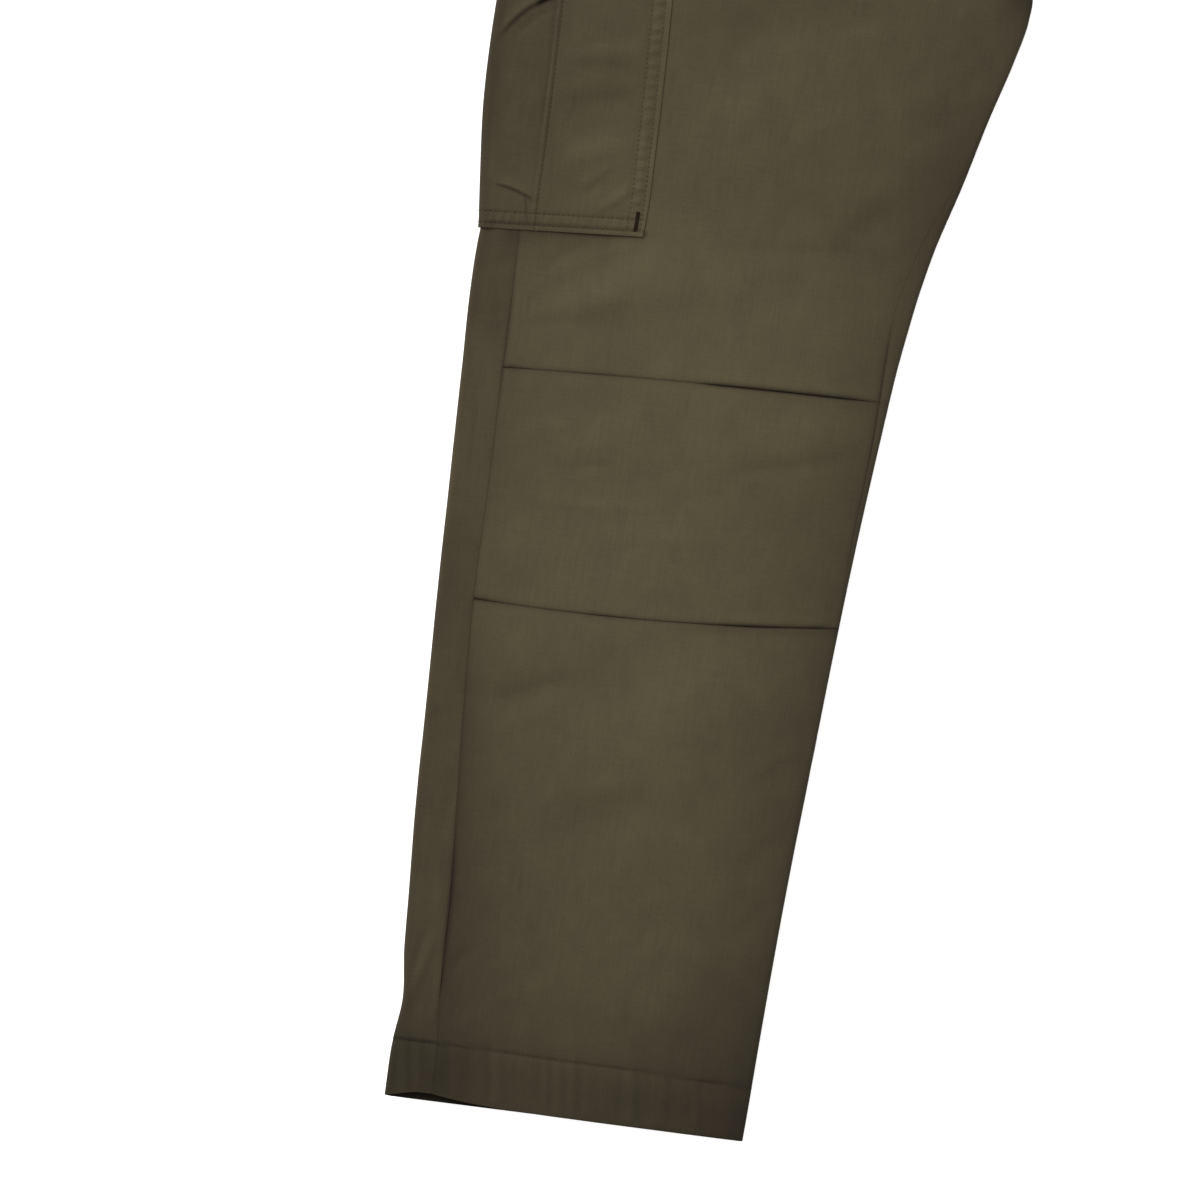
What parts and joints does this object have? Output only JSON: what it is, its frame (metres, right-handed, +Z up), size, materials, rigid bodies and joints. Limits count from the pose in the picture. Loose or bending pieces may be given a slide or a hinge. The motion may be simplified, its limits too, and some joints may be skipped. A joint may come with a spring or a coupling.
{
  "type": "folded cargo pants",
  "caption": "Olive cotton cargo pants folded in half lengthwise and laid flat, with seamed knee panels and a pleated cargo pocket on the thigh.",
  "frame": {"origin": "centre of the footprint, on the surface that the folded pants lie on", "axes": "+Y from the hems to the waist, +X from the outer fold to the inner fold, +Z up"},
  "size_m": [0.3335, 1.0261, 0.0192],
  "materials": {
    "olive_cotton": "matt plain-weave cotton, olive drab, slightly slubby",
    "button_brown": "satin dark brown plastic"
  },
  "bodies": {
    "root": {"left_leg_folded_under": "olive_cotton", "right_back_leg": "olive_cotton", "right_shin_front": "olive_cotton", "right_knee_front": "olive_cotton", "right_thigh_front": "olive_cotton", "cargo_pocket_bag": "olive_cotton", "cargo_pocket_flap": "olive_cotton", "fly_lap": "olive_cotton", "waistband_right_front": "olive_cotton", "waistband_right_back": "olive_cotton", "waistband_left_end": "olive_cotton", "waist_button": "button_brown"}
  },
  "joints": []
}
